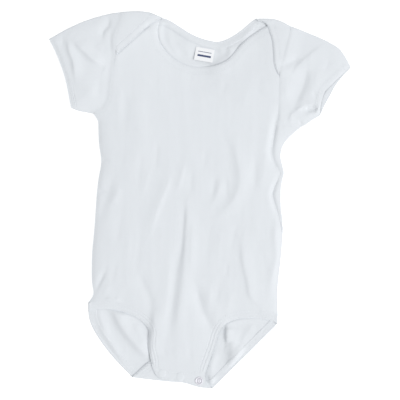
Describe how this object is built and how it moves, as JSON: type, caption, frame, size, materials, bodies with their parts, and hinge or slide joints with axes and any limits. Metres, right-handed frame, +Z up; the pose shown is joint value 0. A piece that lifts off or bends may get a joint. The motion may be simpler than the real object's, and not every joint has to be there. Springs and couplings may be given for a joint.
{
  "type": "baby onesie",
  "caption": "Short-sleeved knitted baby onesie with an envelope neck, bound neck and legs and a folded snap crotch tab, laid flat with its front up.",
  "frame": {"origin": "centre of the garment's box, on the surface it lies on", "axes": "+X to the viewer's right (the wearer's left sleeve), +Y from the crotch to the neck, +Z up from the surface, out of the front"},
  "size_m": [0.32, 0.4, 0.0076],
  "materials": {
    "knit": "matt white rib-knit cotton",
    "binding": "matt white rib binding, sewn with twin rows",
    "satin": "bare white satin label",
    "popper": "nickel-plated ring snap"
  },
  "bodies": {
    "root": {"back": "knit", "front": "knit", "sleeve_left": "knit", "sleeve_right": "knit", "tab_front": "knit", "neck_band_back": "binding", "neck_band_front": "binding", "leg_band_left": "binding", "leg_band_right": "binding", "label": "satin", "popper_left": "popper", "popper_middle": "popper", "popper_right": "popper"}
  },
  "joints": []
}
